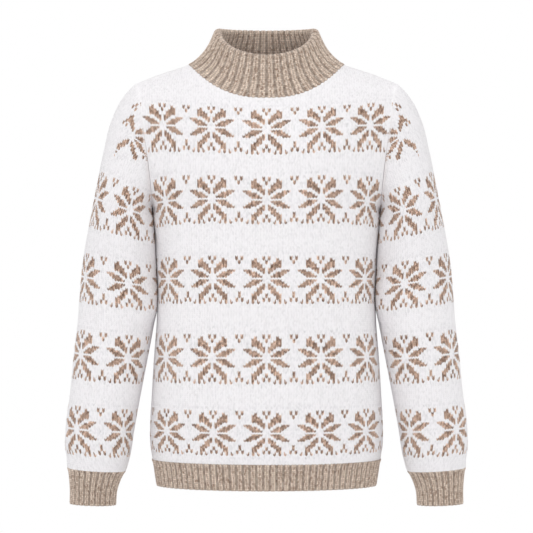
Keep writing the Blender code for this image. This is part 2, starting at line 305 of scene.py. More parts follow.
LEFT_SLEEVE_CREASES = table(
    CREASE_COLUMNS,
    (80, 158, 90, 192, 99, 226, 1.5, 8),
    (104, 170, 114, 200, 124, 226, -0.5, 8),
    (128, 246, 142, 272, 150, 300, 0.7, 8),
    (150, 326, 120, 343, 84, 352, 1.1, 8),
    (154, 362, 128, 374, 96, 370, 0.9, 9),
    (-60, 552, 4, 560, 62, 550, 1, 7),
    (66, 540, 104, 550, 150, 544, 1.1, 7),
    (-30, 536, 20, 542, 70, 532, -0.6, 9),
    (-150, 330, -110, 350, -70, 346, 1.3, 9),
    (-140, 372, -104, 384, -60, 374, 1.1, 9),
    (-96, 180, -108, 226, -132, 262, 1.4, 9),
    (-150, 548, -100, 556, -50, 548, 1, 8),
)
RIGHT_SLEEVE_CREASES = table(
    CREASE_COLUMNS,
    (92, 168, 102, 200, 114, 232, 1, 8),
    (74, 190, 84, 222, 92, 256, -0.6, 9),
    (136, 250, 147, 282, 152, 316, 0.7, 8),
    (152, 340, 116, 352, 78, 350, 1.2, 8),
    (150, 384, 124, 398, 94, 398, 0.8, 9),
    (-44, 556, 16, 562, 84, 552, 1.1, 7),
    (88, 544, 124, 552, 160, 546, 1, 7),
    (-146, 340, -106, 356, -60, 352, 1.2, 9),
    (-148, 392, -112, 400, -72, 390, 1, 9),
    (-92, 172, -110, 220, -128, 268, 1.5, 9),
    (-156, 552, -104, 560, -48, 550, 1.1, 8),
)
CREASE_POINTS = 14
CREASE_REACH = 3
CREASE_FADE = 0.1
# Broad low waves that every panel has: two lengths and a height in millimetres, and how they bend and shift.
WAVE_ALONG, WAVE_LEVEL, WAVE_HEIGHT = 41.0, 57.0, 0.35
WAVE_BEND, WAVE_SHIFT = 1.3, 0.7

# The seam where a sleeve is set in and then lies along the body: how deep it dips, how much painted shade
# its colour takes near it, and what share of its full press the cloth of each stands out to lie against the
# other.
SEAM_LINE = table(
    "down dip shade press",
    (0, 0.2, 0, 0),
    (30, 0.2, 0, 0),
    (90, 0.4, 0.2, 0),
    (150, 0.5, 0.5, 0),
    (190, 0.2, 0.4, 0),
    (207, 0, 0.3, 0),
    (214, 0, 0.3, 0.5),
    (222, 0, 0.5, 1),
    (325, 0, 0.6, 1),
    (350, 0, 0.4, 0.9),
    (372, 0, 0, 0),
    (640, 0, 0, 0),
)
# The body takes this share of the painted seam shade.
BODY_SHADE = 0.15
PRESS_AT_SIDE = 0.85
BODY_PRESS, SLEEVE_PRESS = 2.0, 4.0
PRESS_FULL, PRESS_FALLS, PRESS_ENDS = 20.0, 22.0, 52.0

# A quarter of the snowflake: for each stitch column out from its middle, the first and last course of brown.
UPPER_PETAL = ((1, 3, 5), (2, 4, 7), (3, 5, 8), (4, 6, 10), (5, 6, 9))
LOWER_PETAL = ((1, 3, 5), (2, 4, 7), (3, 5, 8), (4, 7, 10), (5, 8, 10))
SIDE_PETAL = ((2, 1, 1), (3, 1, 2), (4, 1, 3), (5, 1, 3), (6, 2, 4), (7, 3, 4), (8, 4, 4))
STAR_REPEAT = 20
# Three small lozenges over a snowflake, and turned over under it. The rest are stitches and half stitches,
# as (column, course) and (column, course, leg).
TRIPLE = ((0, 8), (0, 9), (-1, 10), (-1, 11), (1, 10), (1, 11))
DOTS = [(-3, -12), (-3, -11, 0), (3, -12), (3, -11, 1), (-5, -11), (-5, -12, 1), (5, -11), (5, -12, 0)]
DOT_BETWEEN = (0, -7)
BAND_REACH = 14
GROUND_THINS_FROM = 9
GROUND_THINS_TO = 16
FLOAT_ROW = 13
BODY_HALF_REPEATS = 6
SLEEVE_HALF_REPEATS = 9
# The snowflakes on a sleeve's cap: the middle column of each, and the hand on which the armhole cuts it.
# What lies round one is given for the hand that is cut.
CAP_STARS = ((-10, -1), (-50, 1))
CAP_DOTS = ((5, -12), (5, -14, 0))
CAP_TRIPLES = ((6, 14), (6, 24), (-9, 4))
CAP_GROUND = (6, -20)

# Where the wales of a rib start and end, as shares of it: a purl, two knits and a purl.
WALE_EDGES = (0.0, 0.14, 0.5, 0.86, 1.0)
WALE_IS_PURL = (True, False, False, True)
WALES = len(WALE_IS_PURL)


def linear(*srgb):
    """A colour from 0-255 screen values to the linear values that shaders take."""
    shares = [value / 255 for value in srgb]
    return [s / 12.92 if s <= 0.04045 else ((s + 0.055) / 1.055) ** 2.4 for s in shares]


IVORY = linear(250, 248, 250)
FLOAT_GREY = linear(190, 188, 192)
FLOAT_SHARE = 0.12
# SEAM_SHADE is painted shade: the warm grey that the ivory is mixed towards near the seams.
SEAM_SHADE = linear(196, 180, 170)
SEAM_SHADE_SHARE = 0.45
BROWN_LIGHT = linear(250, 216, 194)
BROWN_DARK = linear(132, 101, 82)
TAUPE_LIGHT = linear(255, 236, 219)
TAUPE_DARK = linear(160, 132, 112)
BLACK = (0.0, 0.0, 0.0)

# How much each thing changes the knit's colours and light. A pair is a factor of it and an offset: of the
# fibres' noise, or of 1 where the knit is brown or lies in whiter ground. The seam, edge and wale values and
# PURL_SHADE are painted shade.
TONE_IN_BROWN, FIBRE_IN_BROWN, SEAM_SHADE_IN_BROWN = 0.28, (2.2, -0.6), 0.5
TONE_IN_TAUPE, FIBRE_IN_TAUPE, PURL_SHADE = 0.22, (1.2, -0.06), 0.37
TONE_IN_IVORY, FIBRE_IN_IVORY = (0.02, 0.042), (0.16, 0.92)
IVORY_EDGE_SHADE, IVORY_WALE_SHADE = (0.54, 0.06), (0.2, 0.06)
TAUPE_EDGE_SHADE, TAUPE_WALE_SHADE = 0.5, 0.46
FIBRE_SCALE, FIBRE_STRETCH = 2.0, (1.6, 2.2)
FIBRE_HEIGHT, FIBRE_STRENGTH = 0.0004, 0.6
WOOL_SURFACE = {"Roughness": 0.95, "Specular IOR Level": 0.2, "Sheen Weight": 0.25, "Sheen Roughness": 0.6}

CAMERA_DISTANCE = 5.0
CAMERA_DOWN = 0.1727
FRAME_WIDTH = 0.7622
FRAME_PIXELS = 533
FRAME_CENTRE_ROW = 185.0
SENSOR_WIDTH = 36
VIEW_ENDS = 100

AMBIENT = 0.96
KEY_POWER = 18.0
KEY_PLACE = (-0.9, -2.4, 2.3)
FILL_POWER = 6.0
FILL_PLACE = (1.6, -3.4, 0.6)
LIGHT_SIZE = 2.4
AIM = (0, 0, -0.25)
DIFFUSE_BOUNCES = 8
FLOOR_RADIUS = 1.9
FLOOR_Z = -0.9
FLOOR_SIDES = 96
FLOOR_SURFACE = {"Base Color": (0.9, 0.9, 0.9, 1), "Roughness": 0.9}


def smooth(rows, name, at):
    """One column of a table, read anywhere along the first column on a smooth curve."""
    keys = next(iter(rows.values()))
    values = rows[name]
    slopes = np.gradient(values, keys)
    i = np.clip(np.searchsorted(keys, at) - 1, 0, len(keys) - 2)
    width = keys[i + 1] - keys[i]
    t = (at - keys[i]) / width
    start = (2 * t**3 - 3 * t**2 + 1) * values[i] + (t**3 - 2 * t**2 + t) * width * slopes[i]
    end = (3 * t**2 - 2 * t**3) * values[i + 1] + (t**3 - t**2) * width * slopes[i + 1]
    return start + end


def columns_of(*parts):
    """Columns of equal length, where a bare number stands for a constant column, as rows of points."""
    return np.stack(np.broadcast_arrays(*parts), axis=-1).astype(float)


def unit(rows):
    return rows / np.linalg.norm(rows, axis=1, keepdims=True)


def rise(x, low, high):
    """0 below low, 1 above high, and a soft step between them."""
    t = np.clip((x - low) / (high - low), 0, 1)
    return t * t * (3 - 2 * t)


def bell(distance, reach):
    """1 at a distance of 0, and less and less beyond it."""
    return np.exp(-((distance / reach) ** 2))


def lengths_along(path):
    """The length from a path's first point to each of its points."""
    return np.concatenate([[0], np.linalg.norm(np.diff(path, axis=0), axis=1).cumsum()])


def arc(start, middle, end):
    """A curve through three values, as a row of points."""
    t = np.linspace(0, 1, CREASE_POINTS)
    return (1 - t) ** 2 * start + 2 * t * (1 - t) * (2 * middle - (start + end) / 2) + t**2 * end


def creased(creases, along, level):
    """The depth of all the creases at each place."""
    depth = np.zeros(len(along))
    for x1, y1, x2, y2, x3, y3, deep, width in zip(*creases.values()):
        path_x, path_y = arc(x1, x2, x3), arc(y1, y2, y3)
        reach = CREASE_REACH * width
        near = (along > path_x.min() - reach) & (along < path_x.max() + reach)
        near &= (level > path_y.min() - reach) & (level < path_y.max() + reach)
        x, y = along[near], level[near]
        best = np.full(len(x), np.inf)
        where = np.zeros(len(x))
        for i in range(CREASE_POINTS - 1):
            from_x, from_y = x - path_x[i], y - path_y[i]
            step_x, step_y = path_x[i + 1] - path_x[i], path_y[i + 1] - path_y[i]
            share = np.clip((from_x * step_x + from_y * step_y) / (step_x**2 + step_y**2), 0, 1)
            apart = np.hypot(from_x - share * step_x, from_y - share * step_y)
            where = np.where(apart < best, (i + share) / (CREASE_POINTS - 1), where)
            best = np.minimum(best, apart)
        fade = np.sin(math.pi * (CREASE_FADE + (1 - 2 * CREASE_FADE) * where))
        depth[near] += deep * bell(best, width) * fade
    return depth


def waves(along, level):
    first = np.sin(along / WAVE_ALONG + WAVE_BEND * np.sin(level / WAVE_LEVEL))
    second = np.sin(level / WAVE_ALONG - along / WAVE_LEVEL + WAVE_SHIFT)
    return WAVE_HEIGHT * (first + second)


def settle(points):
    """Lifts the shoulders of the garment."""
    across = np.abs(points[:, 0])
    share = rise(across, LIFT_FROM, LIFT_FULL) * (1 - rise(across, LIFT_FALLS, LIFT_ENDS))
    share = share * (1 - rise(-points[:, 2], LIFT_FADES, LIFT_GONE))
    return points + columns_of(0.0, 0.0, SHOULDER_LIFT * share)


class Form:
    """A smooth surface through an oval at each millimetre of level, read by (along, level)."""

    def __init__(self, first_level, centre, cosine_axis, sine_axis, sweep, turn):
        self.first_level = first_level
        self.centre = centre
        self.cosine_axis = cosine_axis
        self.sine_axis = sine_axis
        self.turn = turn
        self.steps = np.linspace(0, sweep, OVAL_STEPS + 1)
        rings = (
            centre[:, None]
            + cosine_axis[:, None] * np.cos(self.steps)[None, :, None]
            + sine_axis[:, None] * np.sin(self.steps)[None, :, None]
        )
        lengths = np.linalg.norm(np.diff(rings, axis=1), axis=2).cumsum(axis=1)
        self.lengths = np.concatenate([np.zeros((len(centre), 1)), lengths], axis=1)
        self.levels = first_level + np.arange(len(centre))
        shares = np.linspace(0, 1, OVAL_STEPS + 1)
        self.angles = np.array([np.interp(shares * row[-1], row, self.steps) for row in self.lengths])

    def half_girth(self, level):
        return np.interp(level, self.levels, self.lengths[:, -1])

    def half_width(self, level):
        return np.interp(level, self.levels, self.sine_axis[:, 0])

    def ring_at(self, level):
        """The ring above each level, and the share of the way on to the next."""
        whole = np.clip(np.asarray(level) - self.first_level, 0, len(self.levels) - SHORT_OF_LAST_RING)
        return whole.astype(int), whole - whole.astype(int)

    def angle_of(self, x, level):
        """The angle of a body's oval at each x."""
        return np.arcsin(np.minimum(x / self.half_width(level), 1))

    def along_of(self, angle, level):
        """The length along the cloth to an angle of the oval, for arrays of both."""
        low, t = self.ring_at(level)
        near, far = (
            np.array([np.interp(a, self.steps, self.lengths[i]) for a, i in zip(angle, rings)])
            for rings in (low, low + 1)
        )
        return near * (1 - t) + far * t

    def at(self, along, level):
        low, t = self.ring_at(level)
        share = np.clip(np.abs(along) / self.half_girth(level), 0, 1) * OVAL_STEPS
        step = np.minimum(share.astype(int), OVAL_STEPS - 1)
        s = share - step
        near, far = (self.angles[i, step] * (1 - s) + self.angles[i, step + 1] * s for i in (low, low + 1))
        angle = near * (1 - t) + far * t
        t = t[:, None]
        axes = (self.centre, self.cosine_axis, self.sine_axis)
        middle, cosine, sine = (rows[low] * (1 - t) + rows[low + 1] * t for rows in axes)
        return middle + cosine * np.cos(angle)[:, None] + sine * (np.sin(angle) * np.sign(along))[:, None]

    def normals(self, along, level):
        """Outward unit normals."""
        across = self.at(along + 1, level) - self.at(along - 1, level)
        upward = self.at(along, level - 1) - self.at(along, level + 1)
        return unit(np.cross(across, upward) * self.turn)


def sleeve_axes(stations):
    """The middle and the two half axes of the right sleeve's oval at each station."""
    outer = columns_of(smooth(SLEEVE, "outer_x", stations), 0.0, -stations)
    inner = columns_of(smooth(SLEEVE, "inner_x", stations), 0.0, -smooth(SLEEVE, "inner_down", stations))
    middle = (outer + inner) / 2 - columns_of(0.0, smooth(SLEEVE, "forward", stations), 0.0)
    return middle, (outer - inner) / 2, columns_of(0.0, -smooth(SLEEVE, "depth", stations) / 2, 0.0)


def oval_points(middle, across, deep, angle):
    """The point of each oval at its angle."""
    return middle + across * np.cos(angle)[:, None] + deep * np.sin(angle)[:, None]


def armhole_angles(stations):
    """The angle at which each ring of the sleeve cap meets the armhole seam, found by halving."""
    axes = sleeve_axes(stations)
    low = np.zeros(len(stations))
    high = np.full(len(stations), math.pi)
    for _ in range(HALVINGS):
        angle = (low + high) / 2
        x, _, z = oval_points(*axes, angle).T
        outside = x > smooth(ARMHOLE, "half_width", -z)
        low = np.where(outside, angle, low)
        high = np.where(outside, high, angle)
    return low


def armhole_curve():
    """The armhole seam from the shoulder point to the armpit: arrays of down, x and y."""
    stations = np.linspace(SLEEVE_SHOULDER_STATION, SLEEVE_ARMPIT_STATION, ARMHOLE_POINTS)
    x, y, z = oval_points(*sleeve_axes(stations), armhole_angles(stations)).T
    return -z, x, np.abs(y)


def body_form(side):
    """The front or back with its hem rib, from the neck points down."""
    downs = np.arange(0, math.ceil(HEM_BOTTOM) + SPARE_RINGS, dtype=float)
    depth = np.where(downs < BODY_LENGTH, smooth(BODY_DEPTH, side, downs), smooth(HEM_RIB, "depth", downs))
    edge_down, edge_x, edge_y = armhole_curve()
    x = np.interp(downs, edge_down, edge_x)
    y = np.interp(downs, edge_down, edge_y)
    shoulder = NECK_HALF_WIDTH + (SHOULDER_HALF_WIDTH - NECK_HALF_WIDTH) * downs / SHOULDER_DROP
    half_width = np.select(
        [downs <= SHOULDER_DROP, downs < ARMPIT_DROP, downs < BODY_LENGTH],
        [shoulder, x / np.sqrt(1 - (y / depth) ** 2), smooth(BODY_SIDE, "half_width", downs)],
        smooth(HEM_RIB, "half_width", downs),
    )
    facing = -1 if side == "front" else 1
    return Form(
        0,
        columns_of(0.0, 0.0, -downs),
        columns_of(0.0, facing * depth, 0.0),
        columns_of(half_width, 0.0, 0.0),
        math.pi / 2,
        -facing,
    )


def sleeve_form():
    stations = np.arange(SLEEVE_SHOULDER_STATION, CUFF_END_STATION + 1 + SPARE_RINGS)
    middle, across, deep = sleeve_axes(stations)
    return Form(SLEEVE_SHOULDER_STATION, middle, across, deep, math.pi, -1)


def grid(columns, rows):
    """The column and the row of each place of a grid."""
    return (a.ravel() for a in np.meshgrid(np.arange(columns), np.arange(rows), indexing="ij"))


def lattice(columns, courses, lean, is_purl=None, straight_top=True):
    """A grid of stitches: each vertex's (u, v), the number of corner vertices, the triangles, and each
    triangle's column, course and leg. A knit stitch is a V of two legs, and each leg is a quad with a raised
    middle. A purl stitch is one such quad. The corners come first and the raised middles last. lean is how
    far a leg climbs."""
    tall = courses + 1
    i, j = grid(columns + 1, tall)
    side_v = np.where(j == 0, 0, j + lean)
    if straight_top:
        side_v[j == courses] = courses
    sides = np.stack([i, side_v], axis=-1)
    i, j = grid(columns, tall)
    middles = np.stack([i + 0.5, j], axis=-1)
    c, r = grid(columns, courses)
    purl = np.zeros(columns, bool) if is_purl is None else np.asarray(is_purl)
    apex_v = r + np.where(purl[c], 1.0, APEX_UP)
    left = np.stack([c + np.where(purl[c], 0.5, APEX_ACROSS[0]), apex_v], axis=-1)
    right = np.stack([c + APEX_ACROSS[1], apex_v], axis=-1)
    uv = np.concatenate([sides, middles, left, right])
    corners = len(sides) + len(middles)
    side, next_side, middle = c * tall + r, (c + 1) * tall + r, len(sides) + c * tall + r
    stitch = np.arange(len(c))
    quads = []
    for chosen, leg, apex, ring in (
        (~purl[c], 0, corners, (side, middle, middle + 1, side + 1)),
        (~purl[c], 1, corners + len(c), (middle, next_side, next_side + 1, middle + 1)),
        (purl[c], 0, corners, (side, next_side, next_side + 1, side + 1)),
    ):
        for a, b in zip(ring, ring[1:] + ring[:1]):
            quads.append(np.stack([a, b, apex + stitch, c, r, np.full_like(c, leg)], axis=-1)[chosen])
    rows = np.concatenate(quads)
    return uv, corners, rows[:, :3], rows[:, 3:]


def trim(places, inside, faces, stitch):
    """Cuts the triangles off where inside falls to 0. It gives the vertices' places with those of the cuts
    added, the triangles, and each one's stitch."""
    inside = np.where(np.abs(inside) < ON_EDGE, ON_EDGE, inside)
    count = (inside[faces] > 0).sum(axis=1)
    whole = count == 3
    kept, kept_stitch = [faces[whole]], [stitch[whole]]
    cuts = {}
    added = []

    def cut(a, b):
        key = (min(a, b), max(a, b))
        if key not in cuts:
            share = inside[a] / (inside[a] - inside[b])
            cuts[key] = len(places) + len(added)
            added.append(places[a] + (places[b] - places[a]) * share)
        return cuts[key]

    crossed = (count > 0) & ~whole
    for face, cell, n in zip(faces[crossed], stitch[crossed], count[crossed]):
        lone = next(i for i in range(3) if (inside[face[i]] > 0) == (n == 1))
        a, b, c = np.roll(face, -lone)
        near, far = cut(a, b), cut(a, c)
        made = [(a, near, far)] if n == 1 else [(near, b, c), (near, c, far)]
        kept.append(np.array(made))
        kept_stitch.append(np.array([cell] * len(made)))
    return np.concatenate([places, added]), np.concatenate(kept), np.concatenate(kept_stitch)


def clean(points, faces, stitch):
    """Joins vertices that share a place, and drops triangles that collapse or repeat. It gives the vertices
    that are used, the triangles in their new numbers, and each one's stitch."""
    places = np.round(points, JOINED_DECIMALS)
    _, first, same = np.unique(places, axis=0, return_index=True, return_inverse=True)
    faces = first[same.reshape(-1)][faces]
    whole = np.zeros(len(faces), bool)
    _, once = np.unique(np.sort(faces, axis=1), axis=0, return_index=True)
    whole[once] = True
    whole &= (faces != np.roll(faces, 1, axis=1)).all(axis=1)
    used, faces = np.unique(faces[whole], return_inverse=True)
    return used, faces.reshape(-1, 3), stitch[whole]


def open_loops(faces):
    """The loops of edges that only one triangle has, as lists of vertices in the triangles' own turn."""
    edges = np.concatenate([faces[:, [0, 1]], faces[:, [1, 2]], faces[:, [2, 0]]])
    pairs = {}
    for a, b in edges.tolist():
        if pairs.pop((b, a), None) is None:
            pairs[a, b] = True
    after = {}
    for a, b in pairs:
        after.setdefault(a, []).append(b)
    loops = []
    while after:
        start = next(iter(after))
        loop = [start]
        here = start
        while True:
            step = after[here].pop()
            if not after[here]:
                del after[here]
            if step == start:
                break
            loop.append(step)
            here = step
        loops.append(loop)
    return loops


def lining(loop, flat):
    """Triangles over a loop's inside on a coarse grid. It gives the new places on the flat and the
    triangles, which name the loop's own points first and the new ones after them."""
    edge = flat[loop]
    low, high = edge.min(axis=0), edge.max(axis=0)
    counts = np.maximum(((high - low) / LINING_STEP).astype(int), 1)
    lines = (np.linspace(a, b, n + 2)[1:-1] for a, b, n in zip(low, high, counts))
    inner = np.stack(np.meshgrid(*lines), axis=-1).reshape(-1, 2)
    apart = np.array([np.hypot(*(edge - place).T).min() for place in inner])
    inner = inner[apart > LINING_STEP / 2]
    places = [tuple(p) for p in np.concatenate([edge, inner]).tolist()]
    ring = [(i, (i + 1) % len(loop)) for i in range(len(loop))]
    made, _, triangles, origins, _, _ = delaunay_2d_cdt(places, ring, [], 1, TINY)
    used = {i for triangle in triangles for i in triangle}
    names = {}
    fresh = []
    for i in sorted(used):
        if origins[i] and origins[i][0] < len(loop):
            names[i] = origins[i][0]
        else:
            names[i] = len(loop) + len(fresh)
            fresh.append(tuple(made[i]))
    return np.array(fresh).reshape(-1, 2), np.array([[names[i] for i in t] for t in triangles])


def add_attribute(mesh, name, kind, domain, values, field="value"):
    mesh.attributes.new(name, kind, domain).data.foreach_set(field, values)


def make_piece(name, points, faces, knit, corner, colours, material, mirror=False, shade=None):
    """A mesh object in metres. knit holds each vertex's (u, v), and colours each triangle's attributes.
    Edges between corners are sharp, and shade is the painted shade of each vertex near a seam."""
    points = settle(points)
    if mirror:
        points = points * (-1, 1, 1)
        faces = faces[:, ::-1]
    mesh = bpy.data.meshes.new(name)
    mesh.vertices.add(len(points))
    mesh.vertices.foreach_set("co", (points * MM).astype(np.float32).ravel())
    mesh.loops.add(len(faces) * 3)
    mesh.loops.foreach_set("vertex_index", faces.astype(np.int32).ravel())
    mesh.polygons.add(len(faces))
    mesh.polygons.foreach_set("loop_start", np.arange(0, len(faces) * 3, 3, dtype=np.int32))
    mesh.update(calc_edges=True)
    mesh.polygons.foreach_set("use_smooth", np.ones(len(faces), bool))
    place = columns_of(knit[:, 0], knit[:, 1], 0.0).astype(np.float32).ravel()
    add_attribute(mesh, "knit", "FLOAT_VECTOR", "POINT", place, "vector")
    for key, values in colours.items():
        add_attribute(mesh, key, "FLOAT", "FACE", values.astype(np.float32))
    if shade is not None:
        add_attribute(mesh, "shade", "FLOAT", "POINT", shade.astype(np.float32))
    ends = np.empty(len(mesh.edges) * 2, np.int32)
    mesh.edges.foreach_get("vertices", ends)
    add_attribute(mesh, "sharp_edge", "BOOLEAN", "EDGE", corner[ends.reshape(-1, 2)].all(axis=1))
    mesh.validate()
    mesh.materials.append(material)
    piece = bpy.data.objects.new(name, mesh)
    bpy.context.scene.collection.objects.link(piece)
    return piece


def snowflake_cells(skip_side=0):
    """(column, course) of the brown stitches of a snowflake, from its middle. skip_side leaves out the two
    side petals on one hand."""
    cells = []
    for hand in (-1, 1):
        for way, petal in ((-1, LOWER_PETAL), (1, UPPER_PETAL)):
            for column, first, last in petal + (() if hand == skip_side else SIDE_PETAL):
                cells += [(hand * column, way * course) for course in range(first, last + 1)]
    return cells


def triple_cells(way):
    return [(column, way * course) for column, course in TRIPLE]


def moved(cells, columns, courses=0):
    """(column, course) and (column, course, leg) cells, so many columns and courses further on."""
    return [(c + columns, r + courses, *leg) for c, r, *leg in cells]


def band_cells(half_repeats):
    """The brown stitches of a whole band, that many half repeats each way from its middle."""
    cells = []
    for k in range(-half_repeats, half_repeats + 1):
        star = [DOT_BETWEEN] if k % 2 else snowflake_cells()
        cells += moved(star + triple_cells(1) + triple_cells(-1) + DOTS, k * STAR_REPEAT // 2)
    return cells


class Pattern:
    """Which legs of a piece are brown or show the second yarn, and which stitches lie in whiter ground."""

    def __init__(self, first_column, columns, courses, bands, half_repeats):
        self.first_column = first_column
        self.brown = np.zeros((columns, courses, 2), bool)
        self.floats = np.zeros((columns, courses, 2), bool)
        self.ground = np.zeros((columns, courses), bool)
        for band in bands:
            self.colour(band_cells(half_repeats), 0, band)
            self.floats[1::2, band + FLOAT_ROW] = True
            self.whiten(first_column, first_column + columns, band)

    def colour(self, cells, middle, band):
        """Makes (column, course) stitches and (column, course, leg) half stitches brown."""
        columns, courses, _ = self.brown.shape
        for c, r, *leg in moved(cells, middle - self.first_column, band):
            if 0 <= c < columns and 0 <= r < courses:
                self.brown[c, r, leg[0] if leg else slice(None)] = True

    def whiten(self, first, last, band):
        """Marks the ground of a band, from one column to another. It thins out at the top."""
        rng = np.random.default_rng(SEED + band)
        columns = slice(first - self.first_column, last - self.first_column)
        for row in range(-BAND_REACH, GROUND_THINS_TO):
            share = 1 - max(row - GROUND_THINS_FROM, 0) / (GROUND_THINS_TO - GROUND_THINS_FROM)
            if 0 <= row + band < self.ground.shape[1]:
                self.ground[columns, row + band] |= rng.random(last - first) < share


def spread_out(share, v):
    """How much wider than even the stitches lie, at a share of the half width and a course."""
    spread = smooth(BODY_ROWS, "middle", v) + smooth(BODY_ROWS, "outer", v) * share**2
    return 1 + spread * (1 - share**2)


def neck_down(x, drop):
    """How far down the neck's edge lies at each x, from its lowest drop in the middle."""
    return drop * (1 - np.abs(x / NECK_HALF_WIDTH) ** NECK_CURVE_POWER)


def quarter(value, count):
    """The number of the nearest of so many quarter steps."""
    return np.clip(np.rint(value * QUARTERS).astype(int), 0, count - 1)


class Panel:
    """The front or back: where each stitch lies on its form."""

    def __init__(self, side):
        self.form = body_form(side)
        front = side == "front"
        self.creases = FRONT_CREASES if front else BACK_CREASES
        x = np.linspace(0, NECK_HALF_WIDTH, NECK_POINTS)
        down = neck_down(x, NECK_FRONT_DROP if front else NECK_BACK_DROP)
        neck = self.form.along_of(self.form.angle_of(x, down), down)
        shoulder = np.linspace(0, SHOULDER_DROP, SHOULDER_POINTS)[1:]
        self.top_along = np.concatenate([neck, self.form.half_girth(shoulder)])
        self.top_down = np.concatenate([down, shoulder])
        edge_down, edge_x, _ = armhole_curve()
        self.edge_down = np.arange(0, BODY_LENGTH + 1)
        x = np.interp(self.edge_down, edge_down, edge_x)
        armhole = (self.edge_down > SHOULDER_DROP) & (self.edge_down < ARMPIT_DROP)
        angle = np.where(armhole, self.form.angle_of(x, self.edge_down), math.pi / 2)
        self.edge_along = self.form.along_of(angle, self.edge_down)
        self.u_steps = np.arange(BODY_STITCHES * QUARTERS + 1) / QUARTERS - BODY_STITCHES / 2
        self.v_steps = np.arange((BODY_COURSES + 1) * QUARTERS + 1) / QUARTERS
        self.rows, self.last_v = map(np.array, zip(*(self.column(u) for u in self.u_steps)))

    def edge(self, down):
        """How far along the panel reaches at this height."""
        return np.interp(down, self.edge_down, self.edge_along)

    def top(self, along):
        """How far down the panel starts at this length along."""
        return np.interp(np.abs(along), self.top_along, self.top_down)

    def pitch(self, down):
        """A stitch's width."""
        below, at_armpit = (self.form.half_girth(at) / (BODY_STITCHES / 2) for at in (down, ARMPIT_DROP))
        climb = np.clip((ARMPIT_DROP - down) / PITCH_CLIMB, 0, 1)
        return np.where(down >= ARMPIT_DROP, below, at_armpit + (BODY_STITCH - at_armpit) * climb)

    def column(self, u):
        """The height of each quarter course in one quarter column, and the course that reaches the panel's
        top. The courses above the last row of BODY_ROWS climb by their length."""
        last = BODY_ROWS["v"][-1]
        share = u / (BODY_STITCHES / 2)
        reach = u * BODY_STITCH * spread_out(share, last)
        v = np.minimum(self.v_steps, last)
        kink = math.hypot(share, KINK_ROUNDING) - KINK_ROUNDING
        higher = smooth(BODY_ROWS, "kink", v) * kink + smooth(BODY_ROWS, "bow", v) * share**2
        down = smooth(BODY_ROWS, "down", v) - higher
        above = self.v_steps > last
        start, top = down[~above][-1], float(self.top(reach))
        climb = np.linspace(start, top, PANEL_TOP_POINTS)
        length = lengths_along(self.form.at(np.clip(reach, -self.edge(climb), self.edge(climb)), climb))
        way = (self.v_steps[above] - last) * COURSE_HEIGHT
        past = np.maximum(way - length[-1], 0)
        down[above] = np.interp(way, length, climb) - past * (start - top) / length[-1]
        return down, last + length[-1] / COURSE_HEIGHT

    def place(self, u, v):
        """(along, down) for each stitch place, and how far inside the panel's edge it is."""
        i = quarter(u + BODY_STITCHES / 2, len(self.u_steps))
        down = self.rows[i, quarter(v, len(self.v_steps))]
        spread = spread_out(u / (BODY_STITCHES / 2), np.minimum(v, BODY_ROWS["v"][-1]))
        along = u * self.pitch(down) * spread
        return along, down, np.minimum(self.edge(down) - np.abs(along), (self.last_v[i] - v) * COURSE_HEIGHT)

    def relief(self, along, down):
        """How far the cloth stands off its form, and the painted shade it takes near the side seam."""
        side = self.edge(down) - np.abs(along)
        top = np.where(down < ARMPIT_DROP, down - self.top(along), np.inf)
        height, shade = seam_line(side, down, BODY_PRESS)
        height -= TOP_SEAM_DIP * bell(top, SEAM_REACH)
        calm = rise(side, 0, SIDE_REACH) * rise(top, 0, SIDE_REACH)
        return height + calm * (waves(along, down) - creased(self.creases, along, down)), shade * BODY_SHADE


def seam_line(side, down, pressed):
    """The height of the cloth at a distance from the side seam, and the painted shade there. pressed is
    how far it stands out where it lies against its neighbour."""
    keys, *values = SEAM_LINE.values()
    dip, shade, press = (np.interp(down, keys, value) for value in values)
    fullest = PRESS_AT_SIDE + (pressed - PRESS_AT_SIDE) * rise(side, 0, PRESS_FULL)
    stands = press * fullest * (1 - rise(side, PRESS_FALLS, PRESS_ENDS))
    reach = np.where(press > 0, LONG_SHADE_REACH, SHADE_REACH)
    return stands - dip * bell(side, SEAM_REACH), shade * bell(side, reach)


